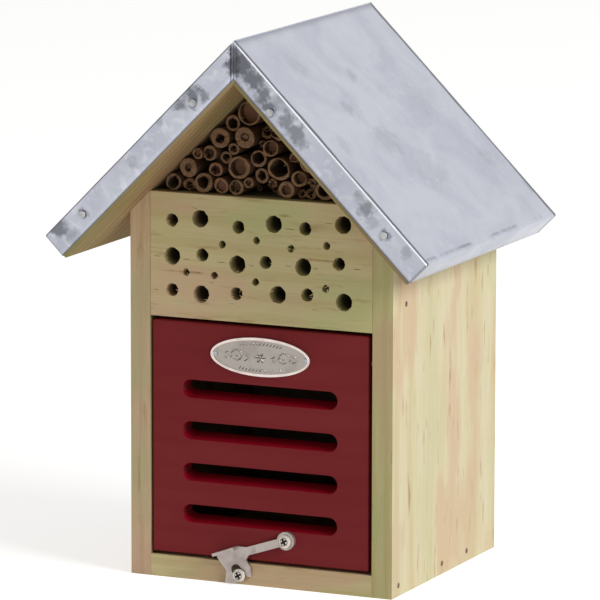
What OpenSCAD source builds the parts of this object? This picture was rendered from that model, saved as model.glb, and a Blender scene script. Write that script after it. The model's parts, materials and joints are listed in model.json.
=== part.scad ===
// Insect hotel: a small wooden house with a drilled nesting block, a gable full of hollow reeds,
// a slotted flap door hung on two dowels, a hook latch and a folded zinc roof.
// X runs across the front, Y from front to back and Z up. The origin is the middle of the ground plan.

/* [House] */
// Width over the side boards
body_w = 130; // [110:1:160]
// Depth from the front edges of the side boards to the back face
body_d = 120; // [100:1:150]
// Thickness of the side, bottom and back boards
board_t = 10; // [8:0.5:12]
// Height of the door opening
opening_h = 110.8; // [92:0.1:134]
// Height of the drilled block
block_h = 57.2; // [47:0.1:69]

/* [Roof] */
// Thickness of the roof boards
roof_t = 13.5; // [10:0.5:17]
// Distance that the eaves reach past the side boards
eave_reach = 28.8; // [15:0.1:36]
// Distance that the roof reaches past the front
front_reach = 29; // [15:1:36]
// Distance that the roof reaches past the back
rear_reach = 3; // [2:0.5:8]
// Thickness of the zinc sheet
sheet_t = 0.5; // [0.4:0.1:1]
// Width of the sheet's folded edges
flange_w = 12.4; // [9:0.1:15]

/* [Nesting holes] */
// Diameter of the large holes
large_hole_d = 8; // [6:0.1:9.6]
// Diameter of the middle holes
middle_hole_d = 6; // [5:0.1:7.2]
// Diameter of the small holes
small_hole_d = 3.5; // [2.5:0.1:4.2]
// Wood left behind the large and middle holes
deep_hole_wall = 35; // [20:1:45]
// Depth of the small holes
small_hole_l = 40; // [30:1:70]

/* [Reeds] */
// Room left between a reed and the back board, apart from the reed's own set-back
reed_back_gap = 18; // [12:1:30]
// Length of the solid joint that closes the back of each reed
reed_joint_l = 8; // [4:1:12]

/* [Door] */
// Thickness of the door
door_t = 10; // [8:0.5:12]
// Distance from the front edges of the side boards back to the door
door_recess = 0.5; // [0.4:0.1:2]
// Gap at the left side of the door
door_gap_left = 0.6; // [0.5:0.05:2]
// Gap at the right side of the door
door_gap_right = 1.9; // [0.5:0.05:2.5]
// Gap under the door
door_foot_gap = 1.5; // [1:0.1:2.5]
// Distance from the drilled block down to the pivots
pivot_drop = 14.5; // [12.5:0.1:17.5]
// Room for the top edge of the door as it swings
swing_gap = 0.85; // [0.5:0.05:1.5]
// Number of slots
slot_count = 4; // [2:1:5]
// Height of a slot
slot_h = 8.4; // [6:0.1:10]
// Distance from the door's edge to the end of a slot
slot_margin = 15.25; // [10:0.25:20]
// Distance from the foot of the door up to the middle of the lowest slot
lowest_slot = 19.1; // [16:0.1:23]
// Diameter of the dowels that the door swings on
pivot_d = 3.5; // [2.8:0.1:4.2]
// Length of a dowel inside the door
pivot_in_door = 14; // [8:1:18]

/* [Nameplate] */
// Length of the oval plate
plate_l = 49.2; // [40:0.1:60]
// Height of the oval plate
plate_h = 17.8; // [15:0.1:22]
// Thickness of the plate without its rim
plate_t = 0.8; // [0.6:0.1:1.2]

/* [Latch] */
// Thickness of the hook's steel
hook_t = 1.4; // [1:0.1:1.8]
// Width of the hook's arm
hook_arm_w = 3.8; // [3:0.1:5]
// Distance from the middle of the house to the hook's pivot
hook_x = 13.2; // [8:0.1:20]
// Height of the hook's pivot above the foot of the door
hook_rise = 10.9; // [9:0.1:13]
// Shank diameter of the latch screws
screw_d = 3; // [2.5:0.1:3.6]
// Head diameter of the latch screws
screw_head_d = 6; // [5:0.1:7]

/* [Hanging] */
// Diameter of the hanging hole in the back board
hang_hole_d = 7; // [5:0.5:8]
// Height of the hanging hole above the drilled block
hang_rise = 28; // [20:1:34]

/* [Hidden] */
$fn = 64;
eps = 0.01;

// Clearances
running_fit = 0.05;
tight_fit = 0.02;
nail_fit = 0.05;
face_gap = 0.2;

// Levels and faces of the house
inner_w = body_w - 2 * board_t;
block_z = board_t + opening_h;
cavity_z = block_z + block_h;
roof_l = body_d + front_reach + rear_reach;
front_y = front_reach - roof_l / 2;
back_y = front_y + body_d;
inner_d = body_d - board_t;
deep_hole_l = inner_d - deep_hole_wall;
reed_l = inner_d - reed_back_gap;

// The slopes meet at a right angle, and their underside meets the inner edges of the side boards
apex_z = cavity_z + inner_w / 2;
ridge_z = apex_z + (roof_t + sheet_t) * sqrt(2);
slope_l = (body_w / 2 + eave_reach) * sqrt(2);

// Nails: shank diameter, length and head
nail_d = 1.8;
nail_l = board_t + 7;
nail_head_d = 2.6;
nail_head_h = 0.6;
roof_nail_l = 22;
roof_nail_head_d = 3.4;
roof_nail_head_h = 0.6;
// Roof nails: distance down the slope from the ridge and in from its outer face
roof_nail_in = sheet_t + (flange_w - sheet_t) / 2;
roof_nails_left = [[34.5, roof_nail_in], [slope_l - 21.2, roof_nail_in - 0.8]];
roof_nails_right = [[34.5, roof_nail_in + 2.8], [slope_l - 23, roof_nail_in]];
bottom_nails_y = [for (y = [7.6, 57.6, 86.7]) front_y + y * body_d / 120];
block_nail_y = front_y + 15;
block_nail_z = block_z + 11.7;
back_nails_x = inner_w * 0.36;

// Nesting holes: distance from the middle and height above the block's foot, for a block 110 x 57.2
hole_kx = inner_w / 110;
hole_kz = block_h / 57.2;
hole_rows = [
    [[-44, 12.5], [-29.5, 11.5], [-12, 13], [8.5, 14], [23, 15], [41, 13]],
    [[-44, 28], [-29, 29.5], [-11.5, 26.5], [2.5, 28.4], [21, 27.5], [38.5, 30.1]],
    [[-44, 44.5], [-30, 46], [-11, 43.5], [6.5, 46], [22, 45], [40.5, 48]]
];
small_holes = [[-37, 21], [-23, 20.5], [-2.5, 19], [32, 18.5], [-19, 35], [-2, 38], [15, 35.5], [32.5, 38]];

// Reeds: diameter, what it touches on its left, what it touches on its right, bore and set-back.
// A reed touches an earlier reed, given by its place in the list, or a flat side of the gable.
// The diameters are those that fill a gable 110 wide.
ground = -1;
left_slope = -2;
right_slope = -3;
reeds = [
    [8.2, left_slope, ground, 6.0, 2.5], [6.4, 0, ground, 3.4, 3.5], [9.2, 1, ground, 5.6, 2.0],
    [7.8, 2, ground, 4.8, 2.5], [7.4, 3, ground, 5.2, 2.0], [3.2, 4, ground, 1.6, 16],
    [4.6, 5, ground, 2.6, 22], [4.8, 6, ground, 2.6, 15], [4.2, 7, ground, 2.2, 9],
    [8.2, 8, ground, 4.6, 2.5], [4.4, 9, ground, 2.4, 6], [5.6, 10, ground, 3.2, 3.5],
    [10.0, 11, ground, 6.6, 2.5], [9.2, 12, ground, 6.2, 3.5], [5.0, 4, 6, 3.0, 2.5],
    [4.6, 7, 8, 2.4, 4.5], [4.4, 11, 12, 2.4, 3.0], [7.8, 9, 16, 5.4, 2.5],
    [7.4, 14, 15, 4.2, 5.0], [7.2, 2, 3, 4.6, 3.5], [9.2, left_slope, 1, 3.6, 2.0],
    [6.0, 13, right_slope, 3.6, 3.0], [4.0, 20, 2, 2.0, 20], [10.8, 4, 14, 7.4, 1.5],
    [11.4, 15, 9, 8.6, 2.0], [8.8, 12, 21, 6.0, 2.0], [6.4, 19, 23, 3.4, 5.5],
    [8.2, 23, 18, 5.8, 4.0], [9.6, 17, 25, 6.6, 3.0], [5.6, left_slope, 20, 3.2, 3.5],
    [7.4, 29, 26, 5.0, 2.0], [5.4, 24, 28, 2.8, 4.0], [6.2, 26, 23, 3.4, 3.0],
    [8.2, 27, 24, 6.0, 2.5], [3.8, 27, 33, 2.0, 7.0], [9.6, 30, 32, 4.4, 2.5],
    [8.8, 31, 28, 6.0, 3.0], [10.2, 32, 34, 4.2, 2.0], [6.4, 37, 33, 3.6, 8.0],
    [7.8, 35, 37, 5.0, 4.5], [10.0, 38, 33, 7.0, 3.0], [11.6, 39, 37, 8.8, 4.0]
];
reed_k = inner_w / 110;
reed_gap = 0.15 * reed_k;

// A flat side is taken as a circle so large that it is flat over the gable: [x, z, radius]
flat_r = 1e6;
flat_sides = [
    [0, -flat_r, flat_r],
    [-flat_r / sqrt(2), inner_w / 2 + flat_r / sqrt(2), flat_r],
    [flat_r / sqrt(2), inner_w / 2 + flat_r / sqrt(2), flat_r]
];

// Centre of a circle of radius r that lies on circles a, at its left, and b, at its right
function resting_on(a, b, r) =
    let (
        to_a = a[2] + r + reed_gap,
        to_b = b[2] + r + reed_gap,
        apart = norm([b[0] - a[0], b[1] - a[1]]),
        ux = (b[0] - a[0]) / apart,
        uz = (b[1] - a[1]) / apart,
        along = (to_a * to_a - to_b * to_b + apart * apart) / (2 * apart),
        off = sqrt(to_a * to_a - along * along)
    )
    [a[0] + along * ux - off * uz, a[1] + along * uz + off * ux, r];
function rest_for(i, placed) = i < 0 ? flat_sides[-1 - i] : placed[i];
function place_reeds(placed = []) =
    let (i = len(placed))
    i == len(reeds) ? placed : place_reeds(concat(placed, [
        resting_on(rest_for(reeds[i][1], placed), rest_for(reeds[i][2], placed), reeds[i][0] * reed_k / 2)
    ]));
reed_spots = place_reeds();
function reed_name(i) = str("reed_", i < 9 ? "0" : "", i + 1);

// Door
door_w = inner_w - door_gap_left - door_gap_right;
door_x = (door_gap_left - door_gap_right) / 2;
door_z = board_t + door_foot_gap;
pivot_z = block_z - pivot_drop;
door_top = pivot_z + sqrt(pow(pivot_drop - swing_gap, 2) - pow(door_t / 2, 2));
door_y = front_y + door_recess;
pivot_y = door_y + door_t / 2;
slot_w = door_w - 2 * slot_margin;
plate_z = pivot_z - 0.6;
plate_rim = 1.3;
plate_rim_h = 0.4;
plate_pin_x = plate_l / 2 - 2.4;
plate_pin_d = 1.2;
plate_pin_head_d = 2.2;
plate_pin_l = 6;
plate_to_slot = 4.25;
top_slot = plate_z - plate_h / 2 - plate_to_slot - slot_h / 2;
bottom_slot = door_z + lowest_slot;
slot_pitch = (top_slot - bottom_slot) / (slot_count - 1);

// Latch: the hook lies in front of the house and swings on its screw in the door
hook_y = front_y - face_gap - hook_t;
hook_eye = [hook_x, door_z + hook_rise];
hook_eye_r = 4.2;
keeper = [-9.5, 4.7];
keeper_slot_w = screw_d + 2.2;
screw_head_h = 2.1;
screw_l = 8.5;
keeper_l = 13;
recess_w = 1;
recess_l = 3.4;
// Corners of the forked end, from the keeper screw's middle, with the slot left out
fork = [
    [-7.4, -4.4], [-2.7, -4.4], [2.6, -0.4], [5.7, -0.6], [5.4, 3.8], [3, 7.2],
    [4.2, 9.2], [3.2, 13.1], [-2.1, 13.1], [-12.6, 9.2], [-10.7, 6.1], [-6.8, 1.4]
];
fork_shoulder = [3.2, 11.1];
slot_end = [-0.7, 0.95];
slot_run = 12;
tab_from = [-12.6, 9.2];
tab_to = [-2.1, 13.1];
tab_reach = 3.4;

// Colours
pine = [0.82, 0.78, 0.6];
pale_pine = [0.88, 0.84, 0.68];
red_paint = [0.42, 0.13, 0.14];
zinc = [0.74, 0.75, 0.79];
steel = [0.66, 0.63, 0.6];
reed_brown = [0.52, 0.41, 0.34];

// Extrudes an outline drawn in X and Z from y0 to y1
module slab(y0, y1) {
    translate([0, y1, 0]) rotate([90, 0, 0]) linear_extrude(height = y1 - y0) children();
}

module rod_y(x, z, d, y0, y1) {
    translate([x, y0, z]) rotate([-90, 0, 0]) cylinder(d = d, h = y1 - y0);
}

module rod_x(y, z, d, x0, x1) {
    translate([x0, y, z]) rotate([0, 90, 0]) cylinder(d = d, h = x1 - x0);
}

// Draws its children on the right slope: X down the slope from the ridge, Z out of the roof
module on_slope() {
    translate([0, 0, ridge_z]) rotate([0, 45, 0]) children();
}

module both_sides() {
    children();
    mirror([1, 0, 0]) children();
}

module both_ends() {
    children();
    mirror([0, 1, 0]) children();
}

// A nail along Z with the underside of its head at the origin and its point below
module nail(d, l, head_d, head_h) {
    cylinder(d = head_d, h = head_h);
    translate([0, 0, -l]) cylinder(d = d, h = l + eps);
}

// A pan head screw along Z with the underside of its head at the origin
module pan_screw(d, l, head_d, head_h) {
    dome_r = head_d * 0.85;
    difference() {
        union() {
            intersection() {
                cylinder(d = head_d, h = head_h);
                translate([0, 0, head_h - dome_r]) sphere(r = dome_r);
            }
            translate([0, 0, -l]) cylinder(d = d, h = l + eps);
        }
        for (a = [0, 90]) {
            rotate([0, 0, a + 30]) translate([-recess_l / 2, -recess_w / 2, head_h - 1.1])
                cube([recess_l, recess_w, 2]);
        }
    }
}

// Nails of the house, each drawn where it goes: its head lies flush in the board
module side_nail(y, z) {
    translate([body_w / 2 - nail_head_h, y, z]) rotate([0, 90, 0]) children();
}

module back_nail(x, z) {
    translate([x, back_y - nail_head_h, z]) rotate([-90, 0, 0]) children();
}

module at_side_nails() {
    for (y = bottom_nails_y) side_nail(y, board_t / 2) children();
    side_nail(block_nail_y, block_nail_z) children();
}

module at_back_nails() {
    for (x = [-back_nails_x, 0, back_nails_x]) back_nail(x, board_t / 2) children();
    for (x = [-back_nails_x, back_nails_x]) back_nail(x, block_z + block_h / 2) children();
}

module house_nail() {
    nail(nail_d, nail_l, nail_head_d, nail_head_h);
}

module nail_hole() {
    nail(nail_d + 2 * nail_fit, nail_l + 1, nail_head_d + 2 * nail_fit, nail_head_h + eps);
}

module side_board() {
    difference() {
        slab(front_y, back_y) polygon([
            [inner_w / 2, 0],
            [body_w / 2, 0],
            [body_w / 2, cavity_z - board_t],
            [inner_w / 2, cavity_z]
        ]);
        at_side_nails() nail_hole();
        rod_x(pivot_y, pivot_z, pivot_d + 2 * tight_fit, inner_w / 2 - 1, body_w / 2 + 1);
    }
}

module side_board_left() {
    color(pine) mirror([1, 0, 0]) side_board();
}

module side_board_right() {
    color(pine) side_board();
}

module bottom_board() {
    color(pine) difference() {
        translate([-inner_w / 2, front_y, 0]) cube([inner_w, inner_d, board_t]);
        both_sides() at_side_nails() nail_hole();
        at_back_nails() nail_hole();
        rod_y(keeper[0], keeper[1], screw_d + 2 * tight_fit, front_y - 1, front_y + keeper_l);
    }
}

module back_board() {
    color(pine) difference() {
        slab(back_y - board_t, back_y) polygon([
            [-inner_w / 2, 0],
            [inner_w / 2, 0],
            [inner_w / 2, cavity_z],
            [0, apex_z],
            [-inner_w / 2, cavity_z]
        ]);
        at_back_nails() nail_hole();
        rod_y(0, cavity_z + hang_rise, hang_hole_d, back_y - board_t - 1, back_y + 1);
    }
}

module nesting_hole(spot, d, l) {
    rod_y(spot[0] * hole_kx, block_z + spot[1] * hole_kz, d, front_y - 1, front_y + l);
}

module drilled_block() {
    color(pine) difference() {
        translate([-inner_w / 2, front_y, block_z]) cube([inner_w, inner_d, block_h]);
        for (row = [0:2], column = [0:5]) {
            nesting_hole(
                hole_rows[row][column],
                (row + column) % 2 == 0 ? middle_hole_d : large_hole_d,
                deep_hole_l
            );
        }
        for (spot = small_holes) nesting_hole(spot, small_hole_d, small_hole_l);
        both_sides() at_side_nails() nail_hole();
        at_back_nails() nail_hole();
    }
}

module at_roof_nails(spots) {
    for (spot = spots) {
        on_slope() translate([spot[0], -roof_l / 2, -spot[1]]) rotate([90, 0, 0]) children();
    }
}

// Both ends of both slopes
module at_all_roof_nails() {
    both_ends() {
        at_roof_nails(roof_nails_right) children();
        mirror([1, 0, 0]) at_roof_nails(roof_nails_left) children();
    }
}

module roof_nail_hole() {
    translate([0, 0, -roof_nail_l - 1]) cylinder(d = nail_d + 2 * nail_fit, h = roof_nail_l + 2);
}

// The board of the right slope, from its upper edge down to the eave
module roof_board(from, nail_spots) {
    difference() {
        on_slope() translate([from, sheet_t - roof_l / 2, -sheet_t - roof_t])
            cube([slope_l - sheet_t - from, roof_l - 2 * sheet_t, roof_t]);
        both_ends() at_roof_nails(nail_spots) roof_nail_hole();
    }
}

module roof_board_left() {
    color(pine) mirror([1, 0, 0]) roof_board(sheet_t, roof_nails_left);
}

module roof_board_right() {
    color(pine) roof_board(sheet_t + roof_t, roof_nails_right);
}

// One slope of the sheet with its folded edges
module cap_slope() {
    difference() {
        on_slope() translate([0, -roof_l / 2, -flange_w]) cube([slope_l, roof_l, flange_w]);
        on_slope() translate([-slope_l, sheet_t - roof_l / 2, -flange_w - 1])
            cube([2 * slope_l - sheet_t, roof_l - 2 * sheet_t, flange_w + 1 - sheet_t]);
    }
}

module roof_cap() {
    color(zinc) difference() {
        both_sides() cap_slope();
        both_sides() on_slope() translate([sheet_t, sheet_t - roof_l / 2, -roof_t - sheet_t])
            cube([slope_l - 2 * sheet_t, roof_l - 2 * sheet_t, roof_t]);
        at_all_roof_nails() roof_nail_hole();
    }
}

module roof_nails() {
    color(steel) at_all_roof_nails()
        nail(nail_d, roof_nail_l, roof_nail_head_d, roof_nail_head_h);
}

module body_nails() {
    color(steel) {
        both_sides() at_side_nails() house_nail();
        at_back_nails() house_nail();
    }
}

module pivot_dowels() {
    color(pale_pine) both_sides()
        rod_x(pivot_y, pivot_z, pivot_d, door_w / 2 - pivot_in_door, body_w / 2);
}

module door_slot(z) {
    r = slot_h / 2;
    translate([r - slot_w / 2, door_y - 1, z - r]) cube([slot_w - slot_h, door_t + 2, slot_h]);
    for (side = [-1, 1]) rod_y(side * (slot_w / 2 - r), z, slot_h, door_y - 1, door_y + door_t + 1);
}

module door_panel() {
    color(red_paint) difference() {
        translate([door_x - door_w / 2, door_y, door_z]) cube([door_w, door_t, door_top - door_z]);
        for (i = [0:slot_count - 1]) translate([door_x, 0, 0]) door_slot(bottom_slot + i * slot_pitch);
        both_sides() rod_x(
            pivot_y, pivot_z, pivot_d + 2 * running_fit,
            door_w / 2 - pivot_in_door - 0.5, inner_w / 2
        );
        rod_y(hook_eye[0], hook_eye[1], screw_d + 2 * tight_fit, door_y - 1, door_y + screw_l - hook_t);
        both_sides() rod_y(plate_pin_x, plate_z, plate_pin_d + 2 * tight_fit, door_y - 1, door_y + plate_pin_l);
    }
}

function oval(l, h) = [for (a = [0:5:355]) [l / 2 * cos(a), h / 2 * sin(a)]];

module nameplate() {
    color(steel) difference() {
        slab(door_y - plate_t - plate_rim_h, door_y) translate([0, plate_z]) polygon(oval(plate_l, plate_h));
        slab(door_y - plate_t - plate_rim_h - 1, door_y - plate_t) translate([0, plate_z])
            polygon(oval(plate_l - 2 * plate_rim, plate_h - 2 * plate_rim));
        both_sides() rod_y(plate_pin_x, plate_z, plate_pin_d + 2 * nail_fit, door_y - plate_t - 1, door_y + 1);
    }
}

module nameplate_pins() {
    color(steel) both_sides() translate([plate_pin_x, door_y - plate_t, plate_z]) rotate([90, 0, 0])
        nail(plate_pin_d, plate_pin_l - 0.5, plate_pin_head_d, 0.5);
}

module hook_screw() {
    color(steel) translate([hook_eye[0], hook_y - running_fit, hook_eye[1]]) rotate([90, 0, 0])
        pan_screw(screw_d, screw_l, screw_head_d, screw_head_h);
}

module keeper_screw() {
    color(steel) translate([keeper[0], hook_y - face_gap, keeper[1]]) rotate([90, 0, 0])
        pan_screw(screw_d, keeper_l, screw_head_d, screw_head_h);
}

// The forked end: its slot opens along the circle that the hook swings on
module fork_outline() {
    arm = hook_eye - keeper;
    difference() {
        polygon(fork);
        translate(slot_end) circle(d = keeper_slot_w);
        translate(slot_end) rotate(atan2(arm[1], arm[0]) - 90) translate([0, -keeper_slot_w / 2])
            square([slot_run, keeper_slot_w]);
    }
}

module arm_outline() {
    reach = hook_eye - keeper - fork_shoulder;
    translate(fork_shoulder) rotate(atan2(reach[1], reach[0])) translate([-2, -hook_arm_w / 2])
        square([norm(reach) + 2, hook_arm_w]);
}

module latch_hook() {
    tab = tab_to - tab_from;
    color(steel) difference() {
        union() {
            slab(hook_y, hook_y + hook_t) translate(keeper) {
                fork_outline();
                arm_outline();
            }
            rod_y(hook_eye[0], hook_eye[1], 2 * hook_eye_r, hook_y, door_y - running_fit);
            slab(hook_y - tab_reach, hook_y + hook_t) translate(keeper + tab_from)
                rotate(atan2(tab[1], tab[0])) translate([0, -hook_t]) square([norm(tab), hook_t]);
        }
        rod_y(hook_eye[0], hook_eye[1], screw_d + 2 * running_fit, hook_y - 1, door_y + 1);
    }
}

module reed(i) {
    spot = reed_spots[i];
    y0 = front_y + reeds[i][4];
    color(reed_brown) difference() {
        rod_y(spot[0], cavity_z + spot[1], 2 * spot[2], y0, y0 + reed_l - reeds[i][4] / 2);
        rod_y(spot[0], cavity_z + spot[1], reeds[i][3] * reed_k, y0 - 1, y0 + reed_l - reeds[i][4] / 2 - reed_joint_l);
    }
}

side_board_left();
side_board_right();
bottom_board();
back_board();
drilled_block();
roof_board_left();
roof_board_right();
roof_cap();
roof_nails();
body_nails();
pivot_dowels();
door_panel();
nameplate();
nameplate_pins();
hook_screw();
latch_hook();
keeper_screw();
for (i = [0:len(reeds) - 1]) reed(i);
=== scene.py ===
import bpy
import bmesh
import json
import math
import random
from mathutils import Euler, Matrix, Vector, noise


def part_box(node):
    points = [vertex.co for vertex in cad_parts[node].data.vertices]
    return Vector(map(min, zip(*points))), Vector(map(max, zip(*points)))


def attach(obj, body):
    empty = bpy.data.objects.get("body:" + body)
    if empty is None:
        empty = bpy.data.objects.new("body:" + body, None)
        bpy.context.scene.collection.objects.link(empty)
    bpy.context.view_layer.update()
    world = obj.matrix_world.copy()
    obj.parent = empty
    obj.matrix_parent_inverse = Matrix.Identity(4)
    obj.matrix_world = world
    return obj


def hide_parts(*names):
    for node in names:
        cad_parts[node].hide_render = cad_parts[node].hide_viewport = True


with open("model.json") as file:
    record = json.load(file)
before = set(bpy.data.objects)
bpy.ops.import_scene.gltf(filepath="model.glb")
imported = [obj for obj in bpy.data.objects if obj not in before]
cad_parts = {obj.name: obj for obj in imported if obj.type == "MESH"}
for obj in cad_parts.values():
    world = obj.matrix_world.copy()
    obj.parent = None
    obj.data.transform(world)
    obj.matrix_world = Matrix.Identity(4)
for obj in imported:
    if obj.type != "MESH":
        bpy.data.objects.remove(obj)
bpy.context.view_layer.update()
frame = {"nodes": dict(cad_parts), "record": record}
nodes = frame["nodes"]
mm = 0.001
print("frame loaded:", len(nodes), "nodes")


# ---- shader helpers

def put(tree, kind, inputs=None, **settings):
    node = tree.nodes.new(kind)
    for name, value in settings.items():
        setattr(node, name, value)
    for name, value in (inputs or {}).items():
        socket = node.inputs[name]
        if isinstance(value, bpy.types.NodeSocket):
            tree.links.new(value, socket)
        else:
            socket.default_value = value
    return node


def calc(tree, operation, a, b=0.0, clamp=False):
    return put(tree, "ShaderNodeMath", {0: a, 1: b}, operation=operation, use_clamp=clamp).outputs[0]


def stretch(tree, vector, scale, shift=(0, 0, 0)):
    return put(tree, "ShaderNodeMapping", {"Vector": vector, "Scale": scale, "Location": shift}).outputs[0]


def cloud(tree, vector, scale, detail=3.0, rough=0.55, lump=0.0):
    return put(tree, "ShaderNodeTexNoise", {
        "Vector": vector, "Scale": scale, "Detail": detail, "Roughness": rough, "Distortion": lump}).outputs[0]


def ranged(tree, value, low, high, toLow=0.0, toHigh=1.0):
    return put(tree, "ShaderNodeMapRange", {
        "Value": value, "From Min": low, "From Max": high, "To Min": toLow, "To Max": toHigh}).outputs[0]


def tint(tree, factor, a, b, mode="MIX"):
    node = put(tree, "ShaderNodeMix", data_type="RGBA", blend_type=mode)
    for socket, value in ((node.inputs[0], factor), (node.inputs[6], a), (node.inputs[7], b)):
        if isinstance(value, bpy.types.NodeSocket):
            tree.links.new(value, socket)
        else:
            socket.default_value = value
    return node.outputs[2]


def srgb(r, g, b):
    def linear(c):
        c = c / 255
        return c / 12.92 if c <= 0.04045 else ((c + 0.055) / 1.055) ** 2.4
    return (linear(r), linear(g), linear(b), 1.0)


def startGroup(name, inputs, outputs):
    tree = bpy.data.node_groups.new(name, "ShaderNodeTree")
    for label, kind, value in inputs:
        socket = tree.interface.new_socket(label, in_out="INPUT", socket_type=kind)
        if value is not None:
            socket.default_value = value
    for label, kind in outputs:
        tree.interface.new_socket(label, in_out="OUTPUT", socket_type=kind)
    return tree, tree.nodes.new("NodeGroupInput").outputs, tree.nodes.new("NodeGroupOutput").inputs


def useGroup(tree, group, inputs):
    node = tree.nodes.new("ShaderNodeGroup")
    node.node_tree = group
    for name, value in inputs.items():
        if isinstance(value, bpy.types.NodeSocket):
            tree.links.new(value, node.inputs[name])
        else:
            node.inputs[name].default_value = value
    return node.outputs


def startMaterial(name, specular=0.5):
    material = bpy.data.materials.new(name)
    material.use_nodes = True
    tree = material.node_tree
    shader = tree.nodes["Principled BSDF"]
    shader.inputs["Specular IOR Level"].default_value = specular
    point = put(tree, "ShaderNodeTexCoord").outputs["Object"]
    return material, tree, shader, point


def finishMaterial(tree, shader, colour, roughness, height, depth, metallic=0.0):
    tree.links.new(colour, shader.inputs["Base Color"])
    if isinstance(roughness, bpy.types.NodeSocket):
        tree.links.new(roughness, shader.inputs["Roughness"])
    else:
        shader.inputs["Roughness"].default_value = roughness
    if isinstance(metallic, bpy.types.NodeSocket):
        tree.links.new(metallic, shader.inputs["Metallic"])
    else:
        shader.inputs["Metallic"].default_value = metallic
    bump = put(tree, "ShaderNodeBump", {"Height": height, "Distance": depth, "Strength": 1.0})
    tree.links.new(bump.outputs[0], shader.inputs["Normal"])


# ---- shared effects

def makeGrainGroup():
    # growth rings, fibres and stains of sawn softwood, with the grain along X and lengths in millimetres
    tree, given, out = startGroup("sawnGrain", [
        ("Point", "NodeSocketVector", None), ("Ring Gap", "NodeSocketFloat", 5.0),
        ("Heart", "NodeSocketVector", (0, 0, 60)), ("Wave", "NodeSocketFloat", 6.0), ("Seed", "NodeSocketFloat", 0.0)],
        [("Ring", "NodeSocketFloat"), ("Fibre", "NodeSocketFloat"), ("Stain", "NodeSocketFloat"),
         ("Streak", "NodeSocketFloat"), ("Height", "NodeSocketFloat")])
    seed = put(tree, "ShaderNodeCombineXYZ", {0: given["Seed"], 1: given["Seed"], 2: given["Seed"]}).outputs[0]
    point = put(tree, "ShaderNodeVectorMath", {0: given["Point"], 1: given["Heart"]}, operation="SUBTRACT").outputs[0]
    moved = put(tree, "ShaderNodeVectorMath", {0: point, 1: seed}, operation="ADD").outputs[0]
    bend = cloud(tree, stretch(tree, moved, (0.008, 0.03, 0.03)), 1.0, 3.0)
    parts = put(tree, "ShaderNodeSeparateXYZ", {0: point}).outputs
    away = put(tree, "ShaderNodeVectorMath", {
        0: put(tree, "ShaderNodeCombineXYZ", {1: parts[1], 2: parts[2]}).outputs[0]}, operation="LENGTH").outputs["Value"]
    away = calc(tree, "ADD", away, calc(tree, "MULTIPLY", bend, given["Wave"]))
    turn = calc(tree, "MULTIPLY", calc(tree, "DIVIDE", away, given["Ring Gap"]), math.tau)
    wave = ranged(tree, calc(tree, "SINE", turn), -1.0, 1.0)
    ring = calc(tree, "POWER", wave, 2.2)
    fibre = cloud(tree, stretch(tree, moved, (0.03, 1.6, 1.6)), 1.0, 4.0, 0.6)
    stain = cloud(tree, stretch(tree, moved, (0.012, 0.035, 0.035), (3, 7, 1)), 1.0, 3.0)
    streak = ranged(tree, cloud(tree, stretch(tree, moved, (0.045, 0.30, 0.30), (9, 2, 5)), 1.0, 4.0, 0.55), 0.60, 0.74)
    height = calc(tree, "ADD", calc(tree, "MULTIPLY", ring, 0.5), calc(tree, "MULTIPLY", fibre, 0.8))
    for name, value in (("Ring", ring), ("Fibre", fibre), ("Stain", stain), ("Streak", streak), ("Height", height)):
        tree.links.new(value, out[name])
    return tree


def makeSmudgeGroup():
    # blotches, scratches and fine speckle of handled sheet metal
    tree, given, out = startGroup("handledMetal", [
        ("Point", "NodeSocketVector", None), ("Blotch Size", "NodeSocketFloat", 30.0), ("Seed", "NodeSocketFloat", 0.0)],
        [("Blotch", "NodeSocketFloat"), ("Scratch", "NodeSocketFloat"), ("Speckle", "NodeSocketFloat")])
    seed = put(tree, "ShaderNodeCombineXYZ", {0: given["Seed"], 1: given["Seed"], 2: given["Seed"]}).outputs[0]
    moved = put(tree, "ShaderNodeVectorMath", {0: given["Point"], 1: seed}, operation="ADD").outputs[0]
    scale = calc(tree, "DIVIDE", 1.0, given["Blotch Size"])
    blotch = put(tree, "ShaderNodeTexNoise", {
        "Vector": moved, "Scale": scale, "Detail": 5.0, "Roughness": 0.55, "Distortion": 0.6}).outputs[0]
    warp = put(tree, "ShaderNodeTexNoise", {"Vector": moved, "Scale": 0.02, "Detail": 2.0}).outputs[1]
    bent = put(tree, "ShaderNodeVectorMath", {0: moved, 1: put(
        tree, "ShaderNodeVectorMath", {0: warp, 1: (40, 40, 40)}, operation="MULTIPLY").outputs[0]}, operation="ADD").outputs[0]
    scratch = ranged(tree, cloud(tree, stretch(tree, bent, (0.03, 0.9, 0.25)), 1.0, 4.0, 0.6), 0.66, 0.74)
    speckle = cloud(tree, moved, 1.3, 3.0, 0.7)
    for name, value in (("Blotch", blotch), ("Scratch", scratch), ("Speckle", speckle)):
        tree.links.new(value, out[name])
    return tree


grain = makeGrainGroup()
handled = makeSmudgeGroup()

# ---- materials

pineLook = {
    "fair": {"pale": srgb(226, 217, 184), "late": srgb(208, 190, 144), "green": srgb(216, 212, 174), "pink": srgb(218, 190, 160)},
    "green": {"pale": srgb(220, 206, 157), "late": srgb(198, 178, 122), "green": srgb(202, 203, 143), "pink": srgb(222, 190, 156)},
    "pink": {"pale": srgb(218, 190, 156), "late": srgb(198, 166, 128), "green": srgb(196, 186, 142), "pink": srgb(212, 172, 148)},
    "brown": {"pale": srgb(186, 162, 118), "late": srgb(150, 120, 78), "green": srgb(158, 152, 98), "pink": srgb(168, 134, 104)},
    "edge": {"pale": srgb(206, 198, 146), "late": srgb(190, 174, 116), "green": srgb(190, 192, 134), "pink": srgb(206, 178, 142)},
    "knot": srgb(166, 124, 76), "shade": srgb(52, 40, 24), "grainDepth": 0.00014,
}


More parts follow.
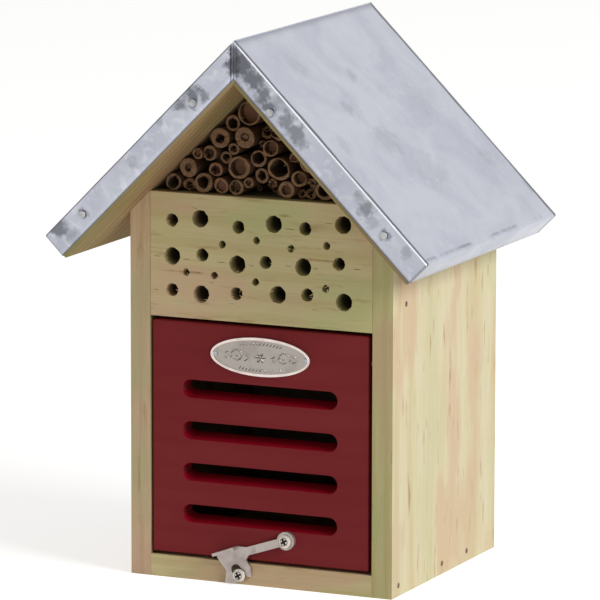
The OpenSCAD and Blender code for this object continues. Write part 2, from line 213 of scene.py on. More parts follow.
def pineMaterial(name, alongX, seed, ringGap=5.5, heart=(0, 0, 70), knots=(), strength=1.0, tone="fair", paintedShadeRange=None, paintedShadowSpots=()):
    # alongX turns the piece so that its grain runs along X; knots are (x, y, z, length, width) in millimetres
    look = pineLook[tone]
    material, tree, shader, point = startMaterial(name, 0.2)
    turned = put(tree, "ShaderNodeMapping", {"Vector": point, "Rotation": alongX, "Scale": (1000, 1000, 1000)}).outputs[0]
    parts = useGroup(tree, grain, {"Point": turned, "Ring Gap": ringGap, "Heart": heart, "Seed": seed})
    colour = tint(tree, calc(tree, "MULTIPLY", parts["Ring"], 0.6 * strength), look["pale"], look["late"])
    colour = tint(tree, ranged(tree, parts["Stain"], 0.50, 0.62, 0.0, 0.8), colour, look["green"])
    colour = tint(tree, ranged(tree, parts["Stain"], 0.47, 0.37, 0.0, 0.8), colour, look["pink"])
    colour = tint(tree, ranged(tree, parts["Fibre"], 0.42, 0.62, 0.0, 0.42 * strength), colour, look["late"])
    colour = tint(tree, calc(tree, "MULTIPLY", parts["Streak"], 0.7 * strength), colour, pineLook["knot"])
    if paintedShadeRange:  # between these two places along Y, in millimetres, the wood is painted into shade, standing for the shade deep in holes and inside the chamber
        place = put(tree, "ShaderNodeSeparateXYZ", {0: point}).outputs[1]
        colour = tint(tree, ranged(tree, place, paintedShadeRange[0] * mm, paintedShadeRange[1] * mm, 0.0, paintedShadeRange[2]), colour, pineLook["shade"])
    # painted shadow spots, (x, y, z, size) in millimetres, where the wood is darkened towards the shade colour
    for x, y, z, size in paintedShadowSpots:
        far = put(tree, "ShaderNodeVectorMath", {0: point, 1: (x * mm, y * mm, z * mm)}, operation="DISTANCE").outputs["Value"]
        colour = tint(tree, ranged(tree, far, size * mm, size * 0.5 * mm, 0.0, 0.85), colour, pineLook["shade"])
    height = parts["Height"]
    for x, y, z, length, width in knots:
        spot = put(tree, "ShaderNodeVectorMath", {0: put(tree, "ShaderNodeVectorMath", {
            0: turned, 1: (x, y, z)}, operation="SUBTRACT").outputs[0], 1: (1 / length, 1 / width, 1 / width)},
            operation="MULTIPLY").outputs[0]
        wobble = cloud(tree, turned, 0.25, 2.0)
        far = calc(tree, "ADD", put(tree, "ShaderNodeVectorMath", {0: spot}, operation="LENGTH").outputs["Value"],
                   ranged(tree, wobble, 0.3, 0.7, -0.3, 0.3))
        mask = ranged(tree, far, 1.25, 0.35)
        colour = tint(tree, calc(tree, "MULTIPLY", mask, 0.62), colour, pineLook["knot"])
    finishMaterial(tree, shader, colour, ranged(tree, parts["Fibre"], 0.3, 0.7, 0.62, 0.82), height, pineLook["grainDepth"])
    return material


# the last two colours paint the light bounced between the red walls inside the slots
redLook = {"face": srgb(133, 44, 47), "deep": srgb(124, 34, 38), "worn": srgb(147, 58, 60),
           "slotBounce": srgb(150, 12, 34), "slotBounceDeep": srgb(130, 8, 28)}


def redMaterial(name, face, deep, worn):
    material, tree, shader, point = startMaterial(name, 0.12)
    turned = put(tree, "ShaderNodeMapping", {"Vector": point, "Scale": (1000, 1000, 1000)}).outputs[0]
    parts = useGroup(tree, grain, {"Point": turned, "Ring Gap": 9.0, "Heart": (0, 40, 210), "Seed": 31.0})
    colour = tint(tree, calc(tree, "MULTIPLY", parts["Ring"], 0.35), face, deep)
    colour = tint(tree, ranged(tree, parts["Stain"], 0.35, 0.7, 0.0, 0.5), colour, deep)
    colour = tint(tree, ranged(tree, parts["Fibre"], 0.62, 0.8, 0.0, 0.35), colour, worn)
    finishMaterial(tree, shader, colour, ranged(tree, parts["Stain"], 0.3, 0.7, 0.45, 0.6), parts["Height"], 0.00006)
    return material


zincLook = {
    "clean": srgb(200, 203, 215), "dull": srgb(180, 184, 198), "dark": srgb(84, 86, 94), "line": srgb(70, 72, 80),
    "bright": srgb(228, 229, 236), "glint": srgb(244, 245, 250),
}


def zincMaterial(name, ridgeHeight, slopeEnd, depthEnd, isEdge, spots=(), metallic=0.5):
    # spots are (x, y, z, size, darkness) in millimetres where the sheet is darkened: where it was hammered, rubbed or
    # folded, and on the flanges also a painted dark reflection and painted shade
    material, tree, shader, point = startMaterial(name)
    scaled = put(tree, "ShaderNodeMapping", {"Vector": point, "Scale": (1000, 1000, 1000)}).outputs[0]
    parts = useGroup(tree, handled, {"Point": scaled, "Blotch Size": 30.0, "Seed": 5.0})
    fine = useGroup(tree, handled, {"Point": scaled, "Blotch Size": 5.0, "Seed": 17.0})
    axes = put(tree, "ShaderNodeSeparateXYZ", {0: scaled}).outputs
    across = calc(tree, "ABSOLUTE", axes[0])
    drop = calc(tree, "MULTIPLY", calc(tree, "SUBTRACT", calc(tree, "SUBTRACT", ridgeHeight, across), axes[2]), 0.7071)
    along = calc(tree, "MULTIPLY", calc(tree, "ADD", calc(tree, "SUBTRACT", ridgeHeight, axes[2]), across), 0.7071)
    fromEnd = calc(tree, "SUBTRACT", depthEnd, calc(tree, "ABSOLUTE", axes[1]))
    colour = tint(tree, ranged(tree, parts["Blotch"], 0.42, 0.66, 0.0, 0.7), zincLook["clean"], zincLook["dull"])
    colour = tint(tree, ranged(tree, fine["Blotch"], 0.52, 0.72, 0.0, 0.7 if isEdge else 0.16), colour, zincLook["bright"])
    colour = tint(tree, calc(tree, "MULTIPLY", parts["Scratch"], 0.3), colour, srgb(150, 152, 165))
    ragged = calc(tree, "ADD", calc(tree, "MULTIPLY", cloud(tree, scaled, 0.32, 5.0, 0.62), 2.6),
                  calc(tree, "MULTIPLY", fine["Blotch"], 0.5))
    dirtShadeAndReflection = None
    for x, y, z, size, amount in spots:
        far = put(tree, "ShaderNodeVectorMath", {0: scaled, 1: (x, y, z)}, operation="DISTANCE").outputs["Value"]
        mask = ranged(tree, calc(tree, "ADD", calc(tree, "DIVIDE", far, size), ragged), 2.75, 2.05, 0.0, amount)
        dirtShadeAndReflection = mask if dirtShadeAndReflection is None else calc(tree, "MAXIMUM", dirtShadeAndReflection, mask)
    # the spots take the dark zinc colour, partly dirt and partly painted dark reflection and painted shade
    colour = tint(tree, dirtShadeAndReflection, colour, zincLook["dark"])
    # on the flanges: a painted shadow line along the lower edge and the end of the slope, and along the fold a painted
    # highlight right of the apex and a painted shade line left of it
    if isEdge:
        rim = calc(tree, "MAXIMUM", ranged(tree, drop, flangeDepth / mm - 0.75, flangeDepth / mm - 0.35, 0.0, 0.7),
                   ranged(tree, along, slopeEnd - 0.8, slopeEnd - 0.4, 0.0, 0.6))
        colour = tint(tree, rim, colour, zincLook["line"])
        fold = ranged(tree, drop, 0.95, 0.5, 0.0, 0.9)
        leftSide = ranged(tree, axes[0], -0.5, -2.0)
        colour = tint(tree, calc(tree, "MULTIPLY", fold, calc(tree, "SUBTRACT", 1.0, leftSide)), colour, zincLook["glint"])
        colour = tint(tree, calc(tree, "MULTIPLY", fold, leftSide), colour, zincLook["line"])
    else:
        # on the slopes: a painted shade line along the front fold, a darker painted shade line along the ridge and a
        # painted shade line along the eave fold
        wander = ranged(tree, parts["Blotch"], 0.4, 0.6, -0.5, 0.6)
        line = calc(tree, "MULTIPLY", ranged(tree, calc(tree, "ADD", fromEnd, wander), 3.4, 2.2), ranged(tree, fromEnd, 0.5, 0.9, 0.0, 0.85))
        colour = tint(tree, line, colour, zincLook["line"])
        colour = tint(tree, ranged(tree, across, 1.2, 0.4, 0.0, 0.35), colour, zincLook["dull"])
        low = calc(tree, "MULTIPLY", ranged(tree, along, slopeEnd - 3.4, slopeEnd - 2.6), ranged(tree, along, slopeEnd - 1.2, slopeEnd - 2.0))
        low = calc(tree, "MULTIPLY", low, ranged(tree, parts["Blotch"], 0.5, 0.62, 0.0, 0.45))
        colour = tint(tree, low, colour, zincLook["line"])
    roughness = calc(tree, "ADD", ranged(tree, parts["Blotch"], 0.35, 0.7, 0.36, 0.5),
                     ranged(tree, parts["Speckle"], 0.3, 0.7, -0.06, 0.06))
    height = calc(tree, "ADD", calc(tree, "MULTIPLY", parts["Blotch"], 1.0 if isEdge else 0.4), calc(tree, "MULTIPLY", parts["Speckle"], 0.06))
    finishMaterial(tree, shader, colour, roughness, height, 0.0007 if isEdge else 0.0004, metallic)
    return material


def steelMaterial(name, base, dark, roughness=0.35, seed=2.0, metallic=0.85, blotch=3.0):
    material, tree, shader, point = startMaterial(name)
    scaled = put(tree, "ShaderNodeMapping", {"Vector": point, "Scale": (1000, 1000, 1000)}).outputs[0]
    parts = useGroup(tree, handled, {"Point": scaled, "Blotch Size": blotch, "Seed": seed})
    colour = tint(tree, ranged(tree, parts["Blotch"], 0.45, 0.7, 0.0, 0.8), base, dark)
    colour = tint(tree, calc(tree, "MULTIPLY", parts["Scratch"], 0.3), colour, srgb(235, 232, 228))
    finishMaterial(tree, shader, colour, ranged(tree, parts["Speckle"], 0.3, 0.7, roughness - 0.06, roughness + 0.1),
                   calc(tree, "ADD", parts["Blotch"], parts["Speckle"]), 0.00004, metallic)
    return material


# the bore colours are painted dark, a painted shade inside the hollow stems
reedTones = {
    "skin": (srgb(106, 78, 54), srgb(68, 47, 32)), "cut": (srgb(168, 135, 102), srgb(106, 75, 51)),
    "bore": (srgb(96, 72, 52), srgb(48, 33, 22)), "pith": (srgb(176, 134, 104), srgb(112, 78, 56)),
}


def reedMaterial(part, seed, warm):
    light, dark = reedTones[part]
    material, tree, shader, point = startMaterial("reed_" + part + "_" + str(seed), 0.25)
    scaled = put(tree, "ShaderNodeMapping", {"Vector": point, "Scale": (1000, 1000, 1000)}).outputs[0]
    lines = cloud(tree, stretch(tree, scaled, (2.4, 0.05, 2.4), (seed * 3.1, 0, 0)), 1.0, 4.0, 0.65)
    patch = cloud(tree, stretch(tree, scaled, (0.25, 0.06, 0.25), (seed * 5.3, 0, 0)), 1.0, 3.0)
    speck = cloud(tree, scaled, 2.6, 4.0, 0.7)
    colour = tint(tree, ranged(tree, lines, 0.35, 0.68), light, dark)
    colour = tint(tree, ranged(tree, patch, 0.45, 0.7, 0.0, 0.5), colour, warm)
    colour = tint(tree, ranged(tree, speck, 0.52, 0.75, 0.0, 0.55), colour, dark)
    finishMaterial(tree, shader, colour, 0.72, calc(tree, "ADD", lines, calc(tree, "MULTIPLY", speck, 0.6)), 0.00022)
    return material


# ---- modelling helpers

def mergedCopy(node):
    bm = bmesh.new()
    bm.from_mesh(nodes[node].data)
    bmesh.ops.remove_doubles(bm, verts=bm.verts, dist=0.002 * mm)
    bmesh.ops.dissolve_limit(bm, angle_limit=math.radians(1), verts=bm.verts, edges=bm.edges, use_dissolve_boundaries=False)
    return bm


def softenEdges(bm, width, angle=42, segments=2, choose=None):
    edges = [e for e in bm.edges if len(e.link_faces) == 2 and e.calc_face_angle(0) > math.radians(angle)
             and (choose is None or choose(e))]
    bmesh.ops.bevel(bm, geom=edges, offset=width * mm, offset_type="OFFSET", affect="EDGES", segments=segments,
                    profile=0.5, material=-1, clamp_overlap=True)


def makePiece(name, bm, body, materials, replaced=(), smoothAngle=35, weighted=True):
    mesh = bpy.data.meshes.new(name)
    bm.to_mesh(mesh)
    bm.free()
    for face in mesh.polygons:
        face.use_smooth = True
    mesh.set_sharp_from_angle(angle=math.radians(smoothAngle))
    piece = bpy.data.objects.new(name, mesh)
    bpy.context.scene.collection.objects.link(piece)
    for material in materials if isinstance(materials, (list, tuple)) else [materials]:
        mesh.materials.append(material)
    if weighted:
        piece.modifiers.new("flatNormals", "WEIGHTED_NORMAL").keep_sharp = True
    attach(piece, body)
    if replaced:
        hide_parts(*replaced)
    return piece


def carve(piece, cutter):
    # cuts one mesh out of another for good, and removes the cutter
    change = piece.modifiers.new("cut", "BOOLEAN")
    change.operation = "DIFFERENCE"
    change.solver = "EXACT"
    change.object = cutter
    bpy.context.view_layer.update()
    result = bpy.data.meshes.new_from_object(piece.evaluated_get(bpy.context.evaluated_depsgraph_get()))
    piece.modifiers.clear()
    old = piece.data
    result.name = old.name
    piece.data = result
    bpy.data.meshes.remove(old)
    bpy.data.objects.remove(cutter)


def jitter(point, size, amount, seed=0.0):
    return noise.noise(Vector(point) / (size * mm) + Vector((seed, seed * 1.7, seed * 0.6))) * amount * mm


def splinter(bm, base, direction, length, width, index=0):
    # a thin pointed sliver from base along direction
    made = bmesh.ops.create_cone(bm, cap_ends=True, segments=5, radius1=width * mm / 2, radius2=width * mm * 0.08, depth=length * mm)
    verts = made["verts"]
    bmesh.ops.scale(bm, vec=(1, 0.45, 1), verts=verts)
    bmesh.ops.translate(bm, vec=(0, 0, length * mm / 2), verts=verts)
    turn = Vector((0, 0, 1)).rotation_difference(Vector(direction).normalized()).to_matrix()
    bmesh.ops.rotate(bm, cent=(0, 0, 0), matrix=turn, verts=verts)
    bmesh.ops.translate(bm, vec=base, verts=verts)
    for face in {f for v in verts for f in v.link_faces}:
        face.material_index = index


def addPart(bm, other):
    # moves everything of one bmesh into another
    mesh = bpy.data.meshes.new("part")
    other.to_mesh(mesh)
    other.free()
    bm.from_mesh(mesh)
    bpy.data.meshes.remove(mesh)


# ---- wooden house

quarter = math.pi / 2
# the bottom board carries a painted shadow behind the hook's catch
frontWood = pineMaterial("pineFront", (0, 0, 0), 3.0, 7.5, (0, 30, 250), (), 0.8, "green", None, ((-11.8, -47, 7.6, 3.2),))
# inside the holes the block's wood is painted into shade, darker further in
blockWood = pineMaterial("pineBlock", (0, 0, 0), 12.0, 8.0, (0, 60, 250), ((12, -47, 171, 3, 0.8), (-37, -47, 142, 9, 0.7), (30, -47, 152, 12, 0.6)), 0.7, "green",
                         (-46.8, -39.0, 0.86))
sideWood = {
    "left": pineMaterial("pineLeftSide", (0, quarter, 0), 21.0, 6.0, (0, 18, -120), (), 0.8, "pink"),
    "right": pineMaterial("pineRightSide", (0, quarter, 0), 8.0, 5.0, (0, 22, 96), (
        (-146, 15, 65, 8, 1.6), (-121, 14, 65, 10, 1.4), (-99, 17, 65, 8, 1.8), (-108, 30, 65, 9, 2.2),
        (-84, 53, 65, 7, 2.4), (-60, 15, 65, 7, 1.5), (-47, 30, 65, 12, 1.2)), 1.0, "fair"),
}
roofWood = {
    "left": pineMaterial("pineLeftRoof", (0, quarter / 2, 0), 14.0, 6.0, (0, 20, 130), (), 1.0, "brown"),
    "right": pineMaterial("pineRightRoof", (0, -quarter / 2, 0), 19.0, 6.0, (0, 20, 130), (), 1.0, "brown"),
}
# the back board's face towards the chamber is painted into shade
backWood = pineMaterial("pineBack", (0, quarter, 0), 27.0, 8.0, (0, 90, 30), (), 0.9, "fair", (64, 63.6, 0.9))
# the faces towards the chamber get a darker brown wood, painted into shade further in
shadeWood = pineMaterial("pineInsideShade", (0, quarter, 0), 33.0, 6.0, (0, 18, -120), (), 0.8, "brown", (-47, -44, 0.72))
edgeWood = pineMaterial("pineEdge", (0, quarter, 0), 9.0, 6.0, (0, 22, 96), (), 0.8, "edge")
endWood = pineMaterial("dowelEnd", (0, 0, 0), 40.0, 2.5, (0, 0, 90), (), 0.4, "fair")


def board(node, name, material, width=0.7):
    bm = mergedCopy(node)
    softenEdges(bm, width)
    return makePiece(name, bm, "house", material, (node,))


def sideBoard(node, name, woods, inner):
    low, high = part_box(node)
    bm = mergedCopy(node)
    softenEdges(bm, 0.8)
    for face in bm.faces:
        middle = face.calc_center_median()
        if abs(middle.x - inner) < 0.2 * mm:  # the face towards the chamber, which gets the wood painted into shade
            face.material_index = 1
        elif middle.y < low.y + 0.3 * mm:
            face.material_index = 2
    return makePiece(name, bm, "house", woods, (node,))


sideBoard("side_board_left", "boardSideLeft", [sideWood["left"], shadeWood, sideWood["left"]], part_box("side_board_left")[1].x)
sideBoard("side_board_right", "boardSideRight", [sideWood["right"], shadeWood, edgeWood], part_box("side_board_right")[0].x)
board("bottom_board", "boardBottom", frontWood, 0.5)
board("back_board", "boardBack", backWood, 0.5)
board("roof_board_left", "boardRoofLeft", roofWood["left"], 0.5)
board("roof_board_right", "boardRoofRight", roofWood["right"], 0.5)
print("boards made")

blockShape = {
    "edge": 0.6, "rim": 0.22,
    # cracks in the front face: x, height above the foot of the block, length, and width in millimetres
    "cracks": ((14.2, 44.2, 8.5, 0.42), (-19.5, 27.0, 6.5, 0.42), (-4.6, 26.4, 4.4, 0.36), (13.6, 27.4, 5.0, 0.4),
               (27.2, 27.2, 4.4, 0.42), (47.4, 28.4, 6.0, 0.4), (-51.6, 27.4, 5.0, 0.36), (-37.0, 27.0, 6.0, 0.34),
               (-31.5, 21.4, 5.0, 0.3), (33.5, 48.2, 7.0, 0.3), (-52, 12.0, 4.0, 0.28), (17, 35.8, 3.6, 0.28),
               (4.8, 45.0, 3.0, 0.34), (-24.5, 17.2, 3.4, 0.26), (27.0, 8.6, 5.0, 0.24), (-14.0, 8.2, 6.0, 0.24), (-33, 50.6, 5.0, 0.26)),
    # holes with torn mouths: x, height above the foot of the block, radius, and number of slivers
    "torn": ((38.5, 30.1, 3.0, 11), (-44.0, 12.5, 3.0, 8), (-12.0, 13.0, 3.0, 12), (23.0, 15.0, 3.0, 6), (-44.0, 44.5, 3.0, 4),
             (22.0, 45.0, 3.0, 5), (32.0, 18.5, 1.75, 9), (15.0, 35.5, 1.75, 6), (-29.0, 29.5, 3.0, 4), (-23.0, 20.5, 1.75, 3),
             (8.5, 14.0, 4.0, 4), (-19.0, 35.0, 1.75, 3), (-11.5, 26.5, 4.0, 6), (2.5, 28.4, 3.0, 3), (-37.0, 21.0, 1.75, 3), (-29.5, 11.5, 4.0, 4)),
}


def makeBlock():
    low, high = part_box("drilled_block")
    bm = mergedCopy("drilled_block")
    for vert in bm.verts:  # drilling leaves each mouth a little out of round
        if abs(vert.co.y - low.y) < 0.01 * mm and low.x + mm < vert.co.x < high.x - mm and low.z + mm < vert.co.z < high.z - mm:
            vert.co.x += jitter(vert.co, 1.1, 0.30, 4)
            vert.co.z += jitter(vert.co, 1.0, 0.30, 9)
    outer = lambda e: all(min(abs(v.co.x - low.x), abs(v.co.x - high.x), abs(v.co.z - low.z), abs(v.co.z - high.z)) < 0.01 * mm
                          for v in e.verts)
    softenEdges(bm, blockShape["edge"], choose=outer)
    softenEdges(bm, blockShape["rim"], choose=lambda e: all(abs(v.co.y - low.y) < 0.01 * mm for v in e.verts)
                and not outer(e), segments=1)
    chance = random.Random(6)
    for x, z, radius, count in blockShape["torn"]:
        for _ in range(count):
            angle = chance.uniform(0, math.tau)
            side = Vector((math.cos(angle), 0, math.sin(angle)))
            base = Vector((x * mm, low.y + 0.5 * mm, low.z + z * mm)) + side * radius * mm * 1.02
            aim = -side * chance.uniform(0.5, 1.0) + Vector((chance.uniform(-0.7, 0.7), -0.35, chance.uniform(-0.3, 0.3)))
            splinter(bm, base, aim, chance.uniform(0.9, 2.3), chance.uniform(0.35, 0.8))
    block = makePiece("drilledBlock", bm, "house", blockWood, ("drilled_block",), weighted=False)
    cut = bmesh.new()
    for x, z, length, width in blockShape["cracks"]:
        made = bmesh.ops.create_cone(cut, cap_ends=True, segments=10, radius1=0.5 * mm, radius2=0.1 * mm, depth=2.4 * mm)["verts"]
        bmesh.ops.scale(cut, vec=(length, width, 1), verts=made)
        bmesh.ops.rotate(cut, cent=(0, 0, 0), matrix=Matrix.Rotation(-quarter, 3, "X"), verts=made)
        bmesh.ops.translate(cut, vec=(x * mm, low.y + 0.4 * mm, low.z + z * mm), verts=made)
    for vert in cut.verts:
        vert.co.z += jitter((vert.co.x, 0, 0), 2.2, 0.35, 2)
    bmesh.ops.recalc_face_normals(cut, faces=cut.faces)
    mesh = bpy.data.meshes.new("cracks")
    cut.to_mesh(mesh)
    cut.free()
    cutter = bpy.data.objects.new("cracks", mesh)
    bpy.context.scene.collection.objects.link(cutter)
    carve(block, cutter)
    for face in block.data.polygons:
        face.use_smooth = True
    block.data.set_sharp_from_angle(angle=math.radians(35))
    block.modifiers.new("flatNormals", "WEIGHTED_NORMAL").keep_sharp = True
    return block


makeBlock()
print("drilled block made")

# ---- reeds

reedLook = {
    "broken": (2, 12, 16, 32, 35, 39, 17), "pith": (21, 30, 38, 32), "split": (19, 2, 28), "steps": 30,
    "membrane": (24, 31, 4, 10, 34, 42, 18, 5, 15, 20, 41),
}
reedSkins = [
    {part: reedMaterial(part, seed, warm) for part in reedTones}
    for seed, warm in ((1, srgb(150, 104, 84)), (2, srgb(140, 122, 96)), (3, srgb(160, 112, 92)), (4, srgb(122, 96, 74)))]


def makeReed(number):
    node = "reed_%02d" % number
    low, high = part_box(node)
    centre = (low + high) / 2
    radius = (high.x - low.x) / 2
    bore = min((Vector((v.co.x - centre.x, v.co.z - centre.z)).length for v in nodes[node].data.vertices
                if abs(v.co.y - low.y) < 0.01 * mm))
    chance = random.Random(number * 7 + 3)
    broken = number in reedLook["broken"]
    pith = number in reedLook["pith"]
    depth = high.y - low.y
    floorAt = chance.uniform(1.2, 2.6) * mm if pith else (
        chance.uniform(2.5, 6) * mm if number in reedLook["membrane"] else depth - 9 * mm)
    inner = bore * (0.55 if pith else 1.0)
    outline = [(0, depth, 0), (radius * 0.96, depth, 0), (radius, depth - 0.6 * mm, 0), (radius, 6 * mm, 0), (radius, 0.45 * mm, 0),
               (radius - 0.12 * mm, 0.08 * mm, 1), (radius * 0.55 + bore * 0.45, 0, 1), (bore + 0.1 * mm, 0.06 * mm, 2),
               (bore, 0.5 * mm, 2), (bore * 0.98, min(3 * mm, floorAt * 0.6), 2), (inner, floorAt, 3), (0, floorAt + 0.4 * mm, 3)]
    bm = bmesh.new()
    line = [bm.verts.new((r, y, 0)) for r, y, _ in outline]
    edges = [bm.edges.new(pair) for pair in zip(line, line[1:])]
    bmesh.ops.spin(bm, geom=line + edges, cent=(0, 0, 0), axis=(0, 1, 0), angle=math.tau, steps=reedLook["steps"], use_merge=True)
    bmesh.ops.remove_doubles(bm, verts=bm.verts, dist=0.001 * mm)
    bmesh.ops.recalc_face_normals(bm, faces=bm.faces)
    tiltX, tiltZ = chance.uniform(-0.05, 0.05), chance.uniform(-0.06, 0.06)
    shiftX, shiftZ = chance.uniform(-0.12, 0.12) * bore, chance.uniform(-0.12, 0.12) * bore
    breakAt = chance.uniform(0, math.tau)
    for face in bm.faces:
        middle = face.calc_center_median()
        away = math.hypot(middle.x, middle.z)
        if away < inner * 0.92 and middle.y < depth - 2 * mm and middle.y > floorAt * 0.6 and floorAt < 7 * mm:
            face.material_index = 3
        elif middle.y > depth - 0.3 * mm or (away > radius * 0.9 and middle.y > 0.4 * mm):
            face.material_index = 0
        elif middle.y < 0.3 * mm:
            face.material_index = 1
        else:
            face.material_index = 2
    flatAt, flatBy = chance.uniform(0, math.pi), chance.uniform(0.0, 0.13)  # stems are a little oval
    chip = chance.uniform(0.0, 1.3)
    for vert in bm.verts:
        angle = math.atan2(vert.co.z, vert.co.x)
        away = math.hypot(vert.co.x, vert.co.z)
        vert.co.x *= 1 - flatBy * math.cos(angle - flatAt) ** 2
        vert.co.z *= 1 - flatBy * math.cos(angle - flatAt) ** 2
        ripple = noise.noise(Vector((math.cos(angle) * 1.1, math.sin(angle) * 1.1, number * 3.7)))
        if away > (radius + bore) / 2:
            grow = 1 - 0.07 * (0.5 + 0.5 * ripple)
            vert.co.x *= grow
            vert.co.z *= grow
        elif away > 0.01 * mm:
            square = 0.10 * math.cos(4 * angle + number) if number == 36 else 0.0
            grow = 1 + 0.2 * ripple + square
            vert.co.x = vert.co.x * grow + shiftX
            vert.co.z = vert.co.z * grow + shiftZ
        if vert.co.y < 0.5 * mm:
            fine = noise.noise(Vector((math.cos(angle) * 5, math.sin(angle) * 5, number * 1.9)))
            coarse = noise.noise(Vector((math.cos(angle) * 1.6, math.sin(angle) * 1.6, number * 2.3)))
            vert.co.y += (0.4 * fine + 0.35 * coarse) * mm + vert.co.x * tiltX + vert.co.z * tiltZ + 0.2 * mm
            near = max(0.0, math.cos(angle - breakAt))
            vert.co.y += (near ** 2 * (3.2 if broken else chip) + abs(fine) * (1.6 if broken else 0.5)) * mm
        if pith and away < bore and vert.co.y > floorAt * 0.5 and vert.co.y < depth - 2 * mm:
            vert.co.y += jitter(vert.co * 1.0, 0.7, 1.1, number)
    if broken or pith or number in reedLook["split"]:
        for _ in range(12 if broken else 8):
            angle = chance.uniform(0, math.tau)
            reach = chance.uniform(bore, radius * 0.95)
            base = Vector((math.cos(angle) * reach, chance.uniform(0.2, 1.4) * mm, math.sin(angle) * reach))
            aim = Vector((chance.uniform(-1, 1), chance.uniform(-0.9, -0.1), chance.uniform(-1, 1)))
            aim -= Vector((math.cos(angle), 0, math.sin(angle))) * 0.7
            splinter(bm, base, aim, chance.uniform(0.9, 2.4), chance.uniform(0.3, 0.75), 1)
    else:
        for _ in range(chance.choice((1, 2, 4, 6))):
            angle = chance.uniform(0, math.tau)
            base = Vector((math.cos(angle) * bore, 0.3 * mm, math.sin(angle) * bore))
            aim = Vector((-math.cos(angle), chance.uniform(-0.6, 0.2), -math.sin(angle) + chance.uniform(-0.4, 0.4)))
            splinter(bm, base, aim, chance.uniform(0.5, 1.8), chance.uniform(0.2, 0.5), 1)
    bmesh.ops.translate(bm, vec=(centre.x, low.y, centre.z), verts=bm.verts)
    for vert in bm.verts:  # nothing stands out past its own place
        vert.co.y = max(vert.co.y, low.y - 0.9 * mm)
    skins = reedSkins[number % len(reedSkins)]
    return makePiece("reed%02d" % number, bm, "house", [skins[p] for p in ("skin", "cut", "bore", "pith")], (node,), 50, False)


for reedNumber in range(1, 43):
    makeReed(reedNumber)
print("reeds made")

# ---- zinc sheet

sheetShape = {"thickness": 0.5, "fold": 0.7, "alongCells": 27, "acrossCells": 26, "flangeCells": 4, "gapLeft": -1.6, "gapRight": 1.4}
low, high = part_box("roof_cap")
ridge = Vector((0, 0, high.z))
slopeLength = high.x * math.sqrt(2)
flangeDepth = 12.4 * mm


def makeSheetHalf(side):
    # the slope lies in the plane w = 0, with u down the slope from the ridge and v from front to back
    bm = bmesh.new()
    bmesh.ops.create_cube(bm, size=1)
    bmesh.ops.scale(bm, vec=(slopeLength, high.y - low.y, flangeDepth), verts=bm.verts)
    bmesh.ops.translate(bm, vec=(slopeLength / 2, 0, -flangeDepth / 2), verts=bm.verts)
    under = [f for f in bm.faces if f.normal.z < -0.9 or f.normal.x < -0.9]
    bmesh.ops.delete(bm, geom=under, context="FACES")
    for axis, cuts in ((0, sheetShape["alongCells"]), (1, sheetShape["acrossCells"]), (2, sheetShape["flangeCells"])):
        chosen = [e for e in bm.edges if abs((e.verts[0].co - e.verts[1].co).normalized()[axis]) > 0.9]
        bmesh.ops.subdivide_edges(bm, edges=chosen, cuts=cuts, use_grid_fill=True)
    folds = [e for e in bm.edges if len(e.link_faces) == 2 and e.calc_face_angle(0) > 1.0]
    bmesh.ops.bevel(bm, geom=folds, offset=sheetShape["fold"] * mm, offset_type="OFFSET", affect="EDGES", segments=3,
                    profile=0.5, material=-1, clamp_overlap=True)
    bmesh.ops.rotate(bm, cent=(0, 0, 0), matrix=Matrix.Rotation(math.pi / 4, 3, "Y"), verts=bm.verts)
    bmesh.ops.translate(bm, vec=ridge, verts=bm.verts)
    bmesh.ops.bisect_plane(bm, geom=bm.verts[:] + bm.edges[:] + bm.faces[:], dist=1e-7, plane_co=(0, 0, 0), plane_no=(-1, 0, 0),
                           clear_outer=True)
    gap = abs(sheetShape["gapLeft"] if side < 0 else sheetShape["gapRight"]) * mm
    flange = [f for f in bm.faces if abs(f.normal.y) > 0.9]
    parts = flange + list({e for f in flange for e in f.edges}) + list({v for f in flange for v in f.verts})
    bmesh.ops.bisect_plane(bm, geom=parts, dist=1e-7, plane_co=(gap, 0, 0), plane_no=(1, 0, 0))
    strip = [f for f in bm.faces if abs(f.normal.y) > 0.9 and f.calc_center_median().x < gap]
    bmesh.ops.split(bm, geom=strip)
    for vert in {v for f in bm.faces if abs(f.normal.y) > 0.9 and f.calc_center_median().x < gap for v in f.verts}:
        vert.co.y += 0.35 * mm if vert.co.y < 0 else -0.35 * mm
    if side < 0:
        for vert in bm.verts:
            vert.co.x = -vert.co.x
        bmesh.ops.reverse_faces(bm, faces=bm.faces)
    return bm


def nailSpots():
    # where the roof nails' heads sit, from the nails themselves
    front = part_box("roof_nails")[0].y
    tips = [v.co for v in nodes["roof_nails"].data.vertices if abs(v.co.y - front) < 0.01 * mm]
    spots = []
    for tip in tips:
        for spot in spots:
            if (spot[0] - tip).length < 5 * mm:
                spot.append(tip)
                break
        else:
            spots.append([tip])
    return [sum(s, Vector()) / len(s) for s in spots]


nailPlaces = nailSpots()


